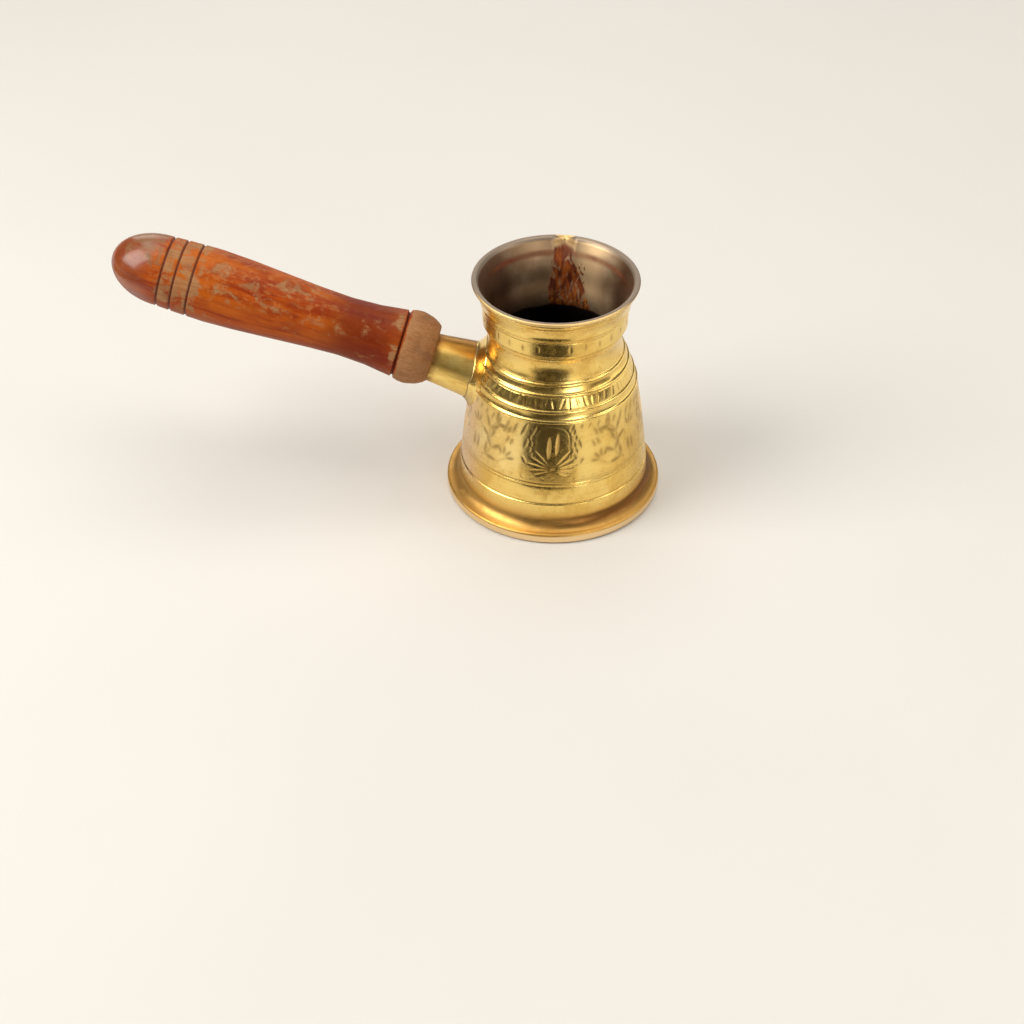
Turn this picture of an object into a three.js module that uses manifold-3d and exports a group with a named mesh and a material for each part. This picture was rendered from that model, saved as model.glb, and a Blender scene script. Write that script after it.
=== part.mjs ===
// A long-handled brass coffee pot (cezve), in millimetres, +Z up.
// The origin is the centre of the foot's flat underside.
// The handle leaves along -X and rises, and the pouring lip faces +Y.
import * as THREE from "three";
import { mergeVertices } from "three/addons/utils/BufferGeometryUtils.js";
import Module from "manifold-3d";

// ---- driving dimensions: the pot, from the foot up ----
const flangeSpread = 4.8; // how far the wide foot stands out past the foot band
const flangeEdge = 3.6; // height of its outer edge
const edgeRound = 0.9;
const flangeRise = 3.4; // from that edge up to the crease under the foot band
const footBandHeight = 7; // plain band between the crease and the engraved wall
const footBandRadius = 35.2;
const footStep = 0.6; // the wall starts this much inside the foot band
const wallHeight = 32.9; // engraved wall, up to the lowest bead
const wallTopRadius = 30.2;
const wallBow = 0.4; // how far the wall bows out of its cone
const beadRadius = 0.55; // half-round beads that frame the coves and the ribbed band
const coveHeight = 2.4; // hollow between two beads
const coveDepth = 0.3;
const ribBandHeight = 4.5;
const shoulderRadius = 25; // at the highest bead
const throatHeight = 10.6; // hollow neck above the highest bead
const throatRadius = 24.1;
const neckRadius = 25.6; // foot of the neck band
const neckBandHeight = 8;
const neckTopRadius = 26.9;
const flareHeight = 9.5; // from the neck band to the rim
const rimRadius = 30;
const wallThickness = 1.3; // of the brass alone
const floorThickness = 3;
const liningThickness = 0.5; // the tin coat
const liningLap = 1.6; // how far the tin turns down over the outside of the rim
const potSegments = 60;

// ---- driving dimensions: the pouring lip ----
const lipHalfAngle = THREE.MathUtils.degToRad(9.5);
const lipReach = 2.6; // how far the lip stands out of the rim
const lipDrop = 1.5; // how far its edge dips
const lipDepth = 6.5; // how far down the wall its channel runs, below the tin's lap
const lipCrowding = 0.45; // how strongly the facets crowd together at the lip

// ---- driving dimensions: the handle, from the wall out ----
const handleTilt = THREE.MathUtils.degToRad(15.6); // above the horizontal
const ferruleLength = 15.4; // along its axis, from the wall to the wood
const ferruleRootRadius = 10.6;
const ferruleTipRadius = 8.6;
const ferruleWall = 1.4;
const ferruleSeat = 2.2; // how far the ferrule's tip goes into the wood
const filletReach = 3.6; // size of the braze fillet round the ferrule's root
const filletEdge = 0.4; // its thickness where it ends on the ferrule and on the wall
const plugLength = 5; // tapped plug inside the ferrule's root
const studRadius = 3;
const studReach = 40; // length of stud past the ferrule's tip
const nutFlats = 10;
const nutThickness = 4;
const washerRadius = 6;
const washerThickness = 1;
const insertRadius = 5;
const insertLength = 24;
const boreEnd = 5; // empty depth of the wood's bore past the stud
const woodLength = 121.5;
const woodOffset = 1.6; // the wood's turned axis stands this far above the stud's
const collarLength = 12.6;
const collarRadius = 13.6;
const waistRadius = 10.8;
const waistPlace = 34; // from the wood's end face
const gripRadius = 13.6;
const gripPlace = 84;
const grooveDepth = 0.7;
const grooveWidth = 1.4;
const groovesFromTip = [31, 25, 20]; // three turned grooves near the handle's end
const gripTaper = 0.25; // the wood is this much slimmer at each groove in turn
const handleSegments = 28;

const gap = 0.3; // between faces that touch on the real pot
const holeClearance = 0.5; // round the stud where its hole is plain

// ---- heights and places that follow ----
const creaseZ = flangeEdge + flangeRise;
const footTopZ = creaseZ + footBandHeight;
const wallTopZ = footTopZ + wallHeight;
const beadHeight = 2 * beadRadius;
const ribBottomZ = wallTopZ + 2 * beadHeight + coveHeight;
const ribTopZ = ribBottomZ + ribBandHeight;
const shoulderZ = ribTopZ + 2 * beadHeight + coveHeight;
const neckZ = shoulderZ + throatHeight;
const throatZ = (shoulderZ + neckZ) / 2;
const flareZ = neckZ + neckBandHeight;
const rimZ = flareZ + flareHeight;
const lapZ = rimZ - liningLap;
const channelTopZ = lapZ - gap;
const channelZ = channelTopZ - lipDepth;
const flangeRadius = footBandRadius + flangeSpread;
const wallFootRadius = footBandRadius - footStep;

const wasm = await Module();
wasm.setup();

const brass = new THREE.MeshStandardMaterial({ color: 0xc99a3f, roughness: 0.25, metalness: 1 });
const tin = new THREE.MeshStandardMaterial({ color: 0xa59a90, roughness: 0.35, metalness: 1 });
const braze = new THREE.MeshStandardMaterial({ color: 0xc98a35, roughness: 0.3, metalness: 1 });
const steel = new THREE.MeshStandardMaterial({ color: 0x8c8e90, roughness: 0.4, metalness: 1 });
const wood = new THREE.MeshStandardMaterial({ color: 0x9a4416, roughness: 0.4, metalness: 0 });

// ---- helpers ----

function toSolid(geometry) {
  const bare = geometry.clone();
  bare.deleteAttribute("normal");
  bare.deleteAttribute("uv");
  const merged = mergeVertices(bare, 1e-4);
  const vertProperties = new Float32Array(merged.attributes.position.array);
  const triVerts = new Uint32Array(merged.index.array);
  return new wasm.Manifold(new wasm.Mesh({ numProp: 3, vertProperties, triVerts }));
}

function toGeometry(solid) {
  const mesh = solid.getMesh();
  const geometry = new THREE.BufferGeometry();
  geometry.setAttribute("position", new THREE.BufferAttribute(new Float32Array(mesh.vertProperties), 3));
  geometry.setIndex(new THREE.BufferAttribute(new Uint32Array(mesh.triVerts), 1));
  geometry.computeVertexNormals();
  return geometry;
}

function at(radius, z) {
  return new THREE.Vector2(radius, z);
}

// A solid of revolution about Z. The outline runs up the outside and comes back down the inside.
function revolve(outline, segments) {
  return new THREE.LatheGeometry(outline, segments).rotateX(Math.PI / 2);
}

function rod(radius, bottom, top, segments = handleSegments) {
  return toSolid(revolve([at(0, bottom), at(radius, bottom), at(radius, top), at(0, top)], segments));
}

function named(name, geometry, material) {
  const mesh = new THREE.Mesh(geometry, material);
  mesh.name = name;
  return mesh;
}

// Radius at a height on a list of outline points that climbs from the bottom to the top.
function radiusOn(points, z) {
  const i = Math.max(1, points.findIndex((p) => p.y >= z));
  const [a, b] = [points[i - 1], points[i]];
  return THREE.MathUtils.mapLinear(z, a.y, b.y, a.x, b.x);
}

// ---- the pot's outline ----

// The shoulder is a cone from the wall's top to the highest bead, with beads, coves and a band on it.
function shoulderAt(z) {
  return THREE.MathUtils.mapLinear(z, wallTopZ, shoulderZ, wallTopRadius, shoulderRadius);
}

function addBead(path, bottom) {
  const crest = bottom + beadRadius;
  const top = bottom + beadHeight;
  path.quadraticCurveTo(shoulderAt(crest) + beadHeight, crest, shoulderAt(top), top);
}

function addCove(path, bottom) {
  const middle = bottom + coveHeight / 2;
  const top = bottom + coveHeight;
  path.quadraticCurveTo(shoulderAt(middle) - 2 * coveDepth, middle, shoulderAt(top), top);
}

function addFramedCove(path, bottom) {
  addBead(path, bottom);
  addCove(path, bottom + beadHeight);
  addBead(path, bottom + beadHeight + coveHeight);
}

// The outside from the foot's edge up to the rim.
function outsidePath() {
  const path = new THREE.Path();
  path.moveTo(flangeRadius - edgeRound, 0);
  path.quadraticCurveTo(flangeRadius, 0, flangeRadius, edgeRound);
  path.lineTo(flangeRadius, flangeEdge - edgeRound);
  path.quadraticCurveTo(flangeRadius, flangeEdge, flangeRadius - edgeRound, flangeEdge + edgeRound / 4);
  path.quadraticCurveTo(footBandRadius + edgeRound, flangeEdge + edgeRound, footBandRadius, creaseZ);
  path.lineTo(footBandRadius - footStep / 2, footTopZ - edgeRound / 3);
  path.lineTo(wallFootRadius, footTopZ);
  const bow = (wallFootRadius + wallTopRadius) / 2 + 2 * wallBow;
  path.quadraticCurveTo(bow, (footTopZ + wallTopZ) / 2, wallTopRadius, wallTopZ);
  addFramedCove(path, wallTopZ);
  path.lineTo(shoulderAt(ribTopZ), ribTopZ);
  addFramedCove(path, ribTopZ);
  const pull = 2 * throatRadius - (shoulderRadius + neckRadius) / 2;
  path.quadraticCurveTo(pull, throatZ, neckRadius, neckZ);
  path.lineTo(neckTopRadius, flareZ);
  const flareBend = (neckTopRadius + rimRadius) / 2 - edgeRound / 3;
  path.quadraticCurveTo(flareBend, (flareZ + rimZ) / 2, rimRadius, rimZ);
  return path;
}

const outside = outsidePath().getPoints(3);

// The same outside without its beads and coves, which the smooth inside follows at a depth.
const smoothOutside = new THREE.SplineCurve([
  at(wallFootRadius, creaseZ - flangeRise),
  at(wallFootRadius, creaseZ),
  at(wallFootRadius, footTopZ),
  at((wallFootRadius + wallTopRadius) / 2 + wallBow, (footTopZ + wallTopZ) / 2),
  at(wallTopRadius, wallTopZ),
  at(shoulderAt((ribBottomZ + ribTopZ) / 2), (ribBottomZ + ribTopZ) / 2),
  at(throatRadius, throatZ),
  at(neckRadius, neckZ),
  at(neckTopRadius, flareZ),
  at(rimRadius, rimZ),
]).getPoints(90);

// Presses the pouring lip. Facets crowd together towards it, and they move out and down.
// The rim with the tin's lap moves as one, and the channel fades out below it.
function pressLip(geometry) {
  const position = geometry.attributes.position;
  for (let i = 0; i < position.count; i++) {
    const [x, y, z] = [position.getX(i), position.getY(i), position.getZ(i)];
    const spread = Math.atan2(x, y); // angle away from +Y
    const angle = spread - lipCrowding * Math.sin(spread);
    const below = THREE.MathUtils.clamp((channelTopZ - z) / lipDepth, 0, 1);
    const across = Math.max(1 - Math.abs(angle) / lipHalfAngle, 0);
    const push = across * (1 - below);
    const radius = Math.hypot(x, y) + lipReach * push;
    position.setXYZ(i, radius * Math.sin(angle), radius * Math.cos(angle), z - lipDrop * push);
  }
  return geometry;
}

// ---- the pot's pieces ----

const wallSteps = 7; // stretches of the inside between the floor's corner and the lip's channel
const lipSteps = 5; // and along the channel
const skin = liningThickness + gap;
const brassTopZ = rimZ - skin;
const cornerZ = floorThickness + 3 * wallThickness;

function stations(from, to, steps) {
  return Array.from({ length: steps }, (_, i) => THREE.MathUtils.lerp(from, to, i / steps));
}

const insideHeights = [
  ...stations(cornerZ, channelZ, wallSteps),
  ...stations(channelZ, channelTopZ, lipSteps),
  channelTopZ,
  brassTopZ,
];

// Inside points at a depth under the outside, from the floor and its corner up to the brass's top.
function insidePoints(depth, floorZ) {
  const points = insideHeights.map((z) => at(radiusOn(smoothOutside, z) - depth, z));
  const floorRadius = points[0].x - 2 * wallThickness;
  return [at(0, floorZ), at(floorRadius, floorZ), ...points];
}

function potBody() {
  const below = outside.filter((p) => p.y < channelTopZ);
  const edgeRadius = radiusOn(outside, channelTopZ);
  const brassEdge = [
    at(edgeRadius, channelTopZ),
    at(edgeRadius - skin, channelTopZ),
    at(radiusOn(outside, brassTopZ) - skin, brassTopZ),
  ];
  const inside = insidePoints(wallThickness, floorThickness).reverse();
  return pressLip(revolve([at(0, 0), ...below, ...brassEdge, ...inside], potSegments));
}

// The tin covers the inside, wraps the rim and ends a little way down the outside.
function tinLining() {
  const depth = wallThickness + gap;
  const floorZ = floorThickness + gap;
  const underside = insidePoints(depth, floorZ);
  const face = insidePoints(depth + liningThickness, floorZ + liningThickness).reverse();
  const lipInside = radiusOn(smoothOutside, rimZ) - depth - liningThickness;
  const wrap = [
    at(underside.at(-1).x, brassTopZ + gap),
    at(radiusOn(outside, brassTopZ) - liningThickness, brassTopZ + gap),
    at(radiusOn(outside, lapZ) - liningThickness, lapZ),
    at(radiusOn(outside, lapZ), lapZ),
    at(rimRadius, rimZ - liningThickness),
    at(rimRadius - liningThickness, rimZ),
    at(lipInside + liningThickness, rimZ),
  ];
  return pressLip(revolve([...underside, ...wrap, ...face], potSegments));
}

// ---- the handle's frame: its local +Z runs out along the stud, and its local +X is the upper side ----

const rootZ = wallTopZ; // the handle's axis meets the wall just under the lowest bead
const rootRadius = radiusOn(outside, rootZ);
const wallReach = rootRadius / Math.cos(handleTilt);
const handle = new THREE.Group();
handle.position.set(0, 0, rootZ - rootRadius * Math.tan(handleTilt));
handle.rotation.y = handleTilt - Math.PI / 2;
handle.updateMatrix();

const ferruleTip = wallReach + ferruleLength + ferruleSeat;
const woodStart = wallReach + ferruleLength;
const plugEnd = wallReach + plugLength;

// The pot's outside as one filled solid, grown by the gap and turned into the handle's frame.
function potInHandleFrame() {
  const grown = outside.map((p) => at(p.x + gap, p.y));
  const filled = pressLip(revolve([at(0, 0), ...grown, at(0, rimZ)], potSegments));
  return toSolid(filled.applyMatrix4(handle.matrix.clone().invert()));
}

const potBlock = potInHandleFrame();

function ferruleRadiusAt(reach) {
  return THREE.MathUtils.mapLinear(reach, wallReach, ferruleTip, ferruleRootRadius, ferruleTipRadius);
}

// A cone on the ferrule's own taper, shifted outward or inward, between two places on the axis.
function ferruleCone(shift, from, to) {
  const [bottom, top] = [ferruleRadiusAt(from) + shift, ferruleRadiusAt(to) + shift];
  return toSolid(revolve([at(0, from), at(bottom, from), at(top, to), at(0, to)], handleSegments));
}

const insidePot = rootRadius / 2; // a place on the axis well inside the pot

function ferrule() {
  const bore = ferruleCone(-ferruleWall, insidePot, ferruleTip + 1);
  return toGeometry(ferruleCone(0, insidePot, ferruleTip).subtract(bore).subtract(potBlock));
}

// Where a line along the handle, at an angle and radius round its axis, meets the pot's outside.
function wallAlong(angle, radius) {
  let [inner, outer] = [insidePot, 2 * wallReach];
  for (let i = 0; i < 30; i++) {
    const middle = (inner + outer) / 2;
    const p = new THREE.Vector3(radius * Math.cos(angle), radius * Math.sin(angle), middle);
    p.applyMatrix4(handle.matrix);
    const isOutside = p.z > rimZ || Math.hypot(p.x, p.y) > radiusOn(outside, p.z);
    if (isOutside) outer = middle;
    else inner = middle;
  }
  return outer;
}

// A concave ring of braze between the ferrule and the wall, following the wall all round.
function brazeFillet() {
  const foot = ferruleRootRadius + filletReach;
  const margin = gap + filletEdge;
  const loops = [];
  for (let i = 0; i < handleSegments; i++) {
    const angle = (2 * Math.PI * i) / handleSegments;
    const corner = wallAlong(angle, ferruleRootRadius);
    const tip = corner + filletReach;
    const curve = new THREE.QuadraticBezierCurve(
      at(ferruleRadiusAt(tip) + margin, tip),
      at(ferruleRootRadius + margin, corner + margin),
      at(foot, wallAlong(angle, foot) + margin),
    );
    const loop = [at(studRadius, tip), ...curve.getPoints(4), at(foot, insidePot), at(studRadius, insidePot)];
    loops.push(loop.map((p) => [p.x * Math.cos(angle), p.x * Math.sin(angle), p.y]));
  }
  const count = loops[0].length;
  const index = [];
  for (let i = 0; i < handleSegments; i++) {
    const [here, next] = [i * count, ((i + 1) % handleSegments) * count];
    for (let j = 0; j < count; j++) {
      const k = (j + 1) % count;
      index.push(here + j, here + k, next + k, here + j, next + k, next + j);
    }
  }
  const geometry = new THREE.BufferGeometry();
  geometry.setAttribute("position", new THREE.BufferAttribute(new Float32Array(loops.flat(2)), 3));
  geometry.setIndex(index);
  const ring = toSolid(geometry);
  return toGeometry(ring.subtract(ferruleCone(gap, insidePot - 1, ferruleTip)).subtract(potBlock));
}

// A brass plug brazed inside the ferrule's root, tapped for the stud.
function rootPlug() {
  const body = ferruleCone(-ferruleWall - gap, insidePot, plugEnd);
  const tappedHole = rod(studRadius + gap, insidePot - 1, plugEnd + 1);
  return toGeometry(body.subtract(tappedHole).subtract(potBlock));
}

const washerStart = plugEnd + gap;
const nutStart = washerStart + washerThickness + gap;
const studEnd = ferruleTip + studReach;

// A ring round the stud, between two places on the axis.
function studRing(radius, from, to) {
  const inner = studRadius + gap;
  const section = [at(inner, from), at(radius, from), at(radius, to), at(inner, to), at(inner, from)];
  return revolve(section, handleSegments);
}

function lockNut() {
  const cornerRadius = nutFlats / Math.sqrt(3);
  const hexagon = rod(cornerRadius, nutStart, nutStart + nutThickness, 6);
  return toGeometry(hexagon.subtract(rod(studRadius + gap, nutStart - 1, nutStart + nutThickness + 1)));
}

// The stud starts clear of the wall and has a chamfered end.
function stud() {
  const start = wallReach + 2 * gap;
  const chamfer = studRadius / 4;
  const side = [at(studRadius, start), at(studRadius, studEnd - chamfer), at(studRadius - chamfer, studEnd)];
  return revolve([at(0, start), ...side, at(0, studEnd)], handleSegments);
}

// ---- the turned wood, on its own axis ----

const endSteps = 9;
const seatDepth = ferruleSeat + gap;
const insertStart = woodStart + seatDepth;

// Cuts a V-shaped turned groove into the outline, at a place along the wood.
function addGroove(points, radius, place) {
  points.push(at(radius, place - grooveWidth / 2));
  points.push(at(radius - grooveDepth, place));
  points.push(at(radius, place + grooveWidth / 2));
}

function woodOutline() {
  const collar = new THREE.SplineCurve([
    at(ferruleTipRadius + 1.4, 0),
    at(collarRadius - 1.2, collarLength * 0.26),
    at(collarRadius, collarLength * 0.6),
    at(collarRadius - 0.5, collarLength - grooveWidth / 2),
  ]).getPoints(6);
  const grip = new THREE.SplineCurve([
    at(collarRadius - 1.1, collarLength + grooveWidth / 2),
    at((collarRadius + waistRadius) / 2 - 0.95, (collarLength + waistPlace) / 2),
    at(waistRadius, waistPlace),
    at((waistRadius + gripRadius) / 2, (waistPlace + gripPlace) / 2),
    at(gripRadius, gripPlace),
  ]).getPoints(16);
  const points = [at(0, 0), ...collar, at(collarRadius - 1.8, collarLength), ...grip];
  groovesFromTip.forEach((fromTip, i) => {
    addGroove(points, gripRadius - gripTaper * (i + 1), woodLength - fromTip);
  });
  // The rounded end, from the last groove's edge to the tip.
  const start = points.at(-1);
  for (let i = 1; i <= endSteps; i++) {
    const turn = (Math.PI / 2) * (i / endSteps);
    const reach = THREE.MathUtils.lerp(start.y, woodLength, Math.sin(turn));
    points.push(at(i < endSteps ? start.x * Math.cos(turn) : 0, reach));
  }
  return points;
}

function woodenHandle() {
  const turned = revolve(woodOutline(), handleSegments).translate(woodOffset, 0, woodStart);
  const mouth = woodStart - 1;
  return toGeometry(
    toSolid(turned)
      .subtract(rod(ferruleTipRadius + 2 * gap, mouth, woodStart + seatDepth))
      .subtract(rod(insertRadius + gap, mouth, insertStart + insertLength + gap))
      .subtract(rod(studRadius + holeClearance, mouth, studEnd + boreEnd)),
  );
}

// ---- assembly ----

handle.add(
  named("ferrule", ferrule(), brass),
  named("braze_fillet", brazeFillet(), braze),
  named("root_plug", rootPlug(), brass),
  named("lock_washer", studRing(washerRadius, washerStart, washerStart + washerThickness), steel),
  named("lock_nut", lockNut(), steel),
  named("stud", stud(), steel),
  named("threaded_insert", studRing(insertRadius, insertStart, insertStart + insertLength), brass),
  named("wooden_handle", woodenHandle(), wood),
);

const pot = new THREE.Group();
pot.add(named("pot_body", potBody(), brass), named("tin_lining", tinLining(), tin), handle);

export default pot;
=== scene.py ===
import math

import bpy
import numpy as np
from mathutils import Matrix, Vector


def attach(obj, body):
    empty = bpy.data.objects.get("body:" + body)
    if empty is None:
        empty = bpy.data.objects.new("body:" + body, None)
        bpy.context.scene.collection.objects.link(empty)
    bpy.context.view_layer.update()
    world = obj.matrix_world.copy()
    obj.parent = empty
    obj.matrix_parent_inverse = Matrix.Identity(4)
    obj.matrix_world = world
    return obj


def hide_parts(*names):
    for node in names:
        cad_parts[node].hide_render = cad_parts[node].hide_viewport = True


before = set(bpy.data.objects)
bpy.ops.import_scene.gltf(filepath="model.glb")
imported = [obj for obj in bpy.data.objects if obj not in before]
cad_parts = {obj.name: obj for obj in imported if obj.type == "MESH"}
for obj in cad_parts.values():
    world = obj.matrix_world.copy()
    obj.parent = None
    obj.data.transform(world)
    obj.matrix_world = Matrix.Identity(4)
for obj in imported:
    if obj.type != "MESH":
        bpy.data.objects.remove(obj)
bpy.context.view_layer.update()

# Sizes are in millimetres, as in the CAD source, and meshes are written in metres.
MM = 0.001
rng = np.random.default_rng(7)

# ---- camera ----
VIEW_TURN = math.radians(7.5)  # the camera looks this much to the left of +Y
VIEW_DOWN = math.radians(39.05)
LENS, SENSOR = 69.43, 36
CAMERA_LEFT, CAMERA_BACK, CAMERA_UP = 0.01553, 0.5934, 0.4638  # metres
forward = Vector((-math.sin(VIEW_TURN), math.cos(VIEW_TURN), 0))
right = Vector((math.cos(VIEW_TURN), math.sin(VIEW_TURN), 0))
camera_data = bpy.data.cameras.new("camera")
camera_data.lens = LENS
camera_data.sensor_width = SENSOR
camera_data.clip_start = 0.01
camera = bpy.data.objects.new("camera", camera_data)
bpy.context.scene.collection.objects.link(camera)
camera.location = right * -CAMERA_LEFT + forward * -CAMERA_BACK + Vector((0, 0, CAMERA_UP))
camera.rotation_euler = (math.pi / 2 - VIEW_DOWN, 0, VIEW_TURN)
bpy.context.scene.camera = camera

# ---- the pot's heights and radii ----
CREASE_Z, FOOT_TOP_Z, WALL_TOP_Z = 7.0, 14.0, 46.9
RIB_BOTTOM_Z, RIB_TOP_Z, SHOULDER_Z = 51.5, 56.0, 60.6
NECK_Z, FLARE_Z, RIM_Z = 71.2, 79.2, 88.7
FLANGE_R, FLANGE_EDGE, FOOT_R, WALL_FOOT_R, WALL_TOP_R = 40.0, 3.6, 35.2, 34.6, 30.2
SHOULDER_R, THROAT_R, NECK_R, NECK_TOP_R, RIM_R = 25.0, 24.1, 25.6, 26.9, 30.0
NECK_BAND_R = 26.2
BEAD, BEAD_RISE = 0.55, 0.36  # half a bead's height along the wall, and how far it stands proud
COVE, COVE_DEPTH = 2.4, 0.19
FOOT_STEP_Z, FOOT_LINE_Z = 14.1, 21.3
LAP_Z = RIM_Z - 1.6  # the tin's edge outside the rim
LIP_ANGLE, LIP_REACH, LIP_DROP, LIP_DEPTH = math.radians(9.0), 2.8, 1.7, 6.5
FRONT = math.radians(-84.3)  # azimuth of the middle of the front engraving


def bend(p0, p1, p2, n=60):
    """Points of a quadratic curve, as two columns: radius and height."""
    t = np.linspace(0, 1, n)[:, None]
    p0, p1, p2 = (np.array(p, float) for p in (p0, p1, p2))
    return (1 - t) ** 2 * p0 + 2 * t * (1 - t) * p1 + t ** 2 * p2


def smooth(x):
    x = np.clip(x, 0, 1)
    return x * x * (3 - 2 * x)


# The plain outside: foot band, bowed wall, shoulder, throat, neck band and flare.
middle = (WALL_FOOT_R + WALL_TOP_R) / 2 + 0.8
throat_z = (SHOULDER_Z + NECK_Z) / 2
plain = np.vstack([
    [[FOOT_R, CREASE_Z], [FOOT_R - 0.3, FOOT_TOP_Z - 0.3]],
    bend((WALL_FOOT_R, FOOT_TOP_Z), (middle, (FOOT_TOP_Z + WALL_TOP_Z) / 2), (WALL_TOP_R, WALL_TOP_Z)),
    bend((WALL_TOP_R, WALL_TOP_Z + 0.01), (28.3, 53.6), (SHOULDER_R, SHOULDER_Z)),
    bend((SHOULDER_R, SHOULDER_Z + 0.01), (2 * THROAT_R - 25.3, throat_z), (NECK_R, NECK_Z)),
    [[NECK_BAND_R - 0.05, NECK_Z + 1.0], [NECK_BAND_R, FLARE_Z - 0.6]],
    [[NECK_TOP_R - 0.05, FLARE_Z + 0.3], [NECK_TOP_R, FLARE_Z + 1.7]],
    bend((NECK_TOP_R + 0.02, FLARE_Z + 1.8), (NECK_TOP_R + 0.75, FLARE_Z + 4.4), (RIM_R, RIM_Z)),
])
# Turned V grooves: height, width and depth.
GROOVES = [
    (FOOT_STEP_Z, 1.1, 0.14), (FOOT_LINE_Z, 0.7, 0.10), (22.7, 0.7, 0.12), (RIB_BOTTOM_Z + 0.2, 0.4, 0.12),
    (RIB_TOP_Z - 0.2, 0.4, 0.12), (61.2, 0.5, 0.10), (71.3, 0.8, 0.24), (72.5, 0.4, 0.08),
    (78.0, 0.4, 0.08), (79.4, 0.8, 0.24), (85.4, 0.5, 0.12),
]
BEADS = [WALL_TOP_Z, RIB_BOTTOM_Z - 2 * BEAD, RIB_TOP_Z, SHOULDER_Z - 2 * BEAD]  # their lower edges
COVES = [WALL_TOP_Z + 2 * BEAD, RIB_TOP_Z + 2 * BEAD]


def plain_radius(z):
    return np.interp(z, plain[:, 1], plain[:, 0])


def outside_radius(z):
    r = plain_radius(z)
    for low in BEADS:
        r = r + BEAD_RISE * np.sqrt(np.clip(1 - ((z - low - BEAD) / BEAD) ** 2, 0, 1))
    for low in COVES:
        r = r - COVE_DEPTH * np.sqrt(np.clip(1 - ((z - low - COVE / 2) / (COVE / 2)) ** 2, 0, 1))
    for place, width, depth in GROOVES:
        r = r - depth * np.clip(1 - np.abs(z - place) / (width / 2), 0, 1)
    return r


def press_lip(points):
    """Moves points near the rim out and down, into the V of the pouring lip, which faces +Y."""
    x, y, z = points[..., 0], points[..., 1], points[..., 2]
    angle = np.arctan2(x, y)
    s = np.abs(angle) / LIP_ANGLE
    across = np.where(s < 1, 0.72 * (1 - s) + 0.14 * (1 + np.cos(np.pi * s)), 0)
    below = np.clip((LAP_Z - 0.3 - z) / LIP_DEPTH, 0, 1)
    push = across * (1 - below) ** 1.2
    radius = np.hypot(x, y)
    grown = radius + LIP_REACH * push
    moved = points.copy()
    scale = np.where(radius > 1, grown / np.maximum(radius, 1), 1)
    moved[..., 0], moved[..., 1], moved[..., 2] = x * scale, y * scale, z - LIP_DROP * push
    return moved


# ---- mesh building ----

def skin(name, rows, poles=False, values=None):
    """A closed mesh from rings of points. The rings close on themselves, or end in a point at each end."""
    n, m = rows.shape[:2]
    if poles:
        inner = rows[1:-1]
        points = np.vstack([inner.reshape(-1, 3), rows[0].mean(0), rows[-1].mean(0)])
        n -= 2
    else:
        points = rows.reshape(-1, 3)
    i, j = np.meshgrid(np.arange(n - 1 if poles else n), np.arange(m), indexing="ij")
    k, l = (i + 1) % n, (j + 1) % m
    quads = np.stack([i * m + j, i * m + l, k * m + l, k * m + j], -1).reshape(-1, 4)
    faces = quads.tolist()
    if poles:
        first, last, top = n * m, n * m + 1, (n - 1) * m
        faces += [[first, (j + 1) % m, j] for j in range(m)]
        faces += [[last, top + j, top + (j + 1) % m] for j in range(m)]
    mesh = bpy.data.meshes.new(name)
    mesh.from_pydata((points * MM).tolist(), [], faces)
    mesh.polygons.foreach_set("use_smooth", [True] * len(mesh.polygons))
    for key, value in (values or {}).items():
        flat = value[1:-1] if poles else value
        if value.ndim == 2:
            data = np.concatenate([flat.ravel(), [value[0].mean(), value[-1].mean()] if poles else []])
            mesh.attributes.new(key, "FLOAT", "POINT").data.foreach_set("value", data)
        else:
            ends = [value[0].mean(0), value[-1].mean(0)] if poles else np.zeros((0, 3))
            data = np.vstack([flat.reshape(-1, 3), ends])
            mesh.attributes.new(key, "FLOAT_VECTOR", "POINT").data.foreach_set("vector", data.ravel())
    mesh.update()
    piece = bpy.data.objects.new(name, mesh)
    bpy.context.scene.collection.objects.link(piece)
    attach(piece, "root")
    return piece


def turned(profile, columns, relief=None):
    """Rings of a turned shape. The relief moves its points along the profile's normal."""
    profile = np.array(profile, float)
    around = np.linspace(-np.pi, np.pi, columns, endpoint=False)
    slope = np.gradient(profile, axis=0)
    length = np.maximum(np.hypot(slope[:, 0], slope[:, 1]), 1e-9)
    normal = np.stack([slope[:, 1], -slope[:, 0]], -1) / length[:, None]
    r = np.repeat(profile[:, :1], columns, 1)
    z = np.repeat(profile[:, 1:], columns, 1)
    if relief is not None:
        r = r + relief * normal[:, :1]
        z = z + relief * normal[:, 1:]
    return np.stack([r * np.cos(around), r * np.sin(around), z], -1)


def heights(*zones):
    """Heights that climb through zones of (start, end, step)."""
    parts = [np.linspace(a, b, max(2, round((b - a) / step) + 1))[:-1] for a, b, step in zones]
    return np.concatenate([*parts, [zones[-1][1]]])


# ---- engraving ----

SPAN = 32.3  # radius at which the engraving's widths are measured
ROUND = 2 * math.pi * SPAN


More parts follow.
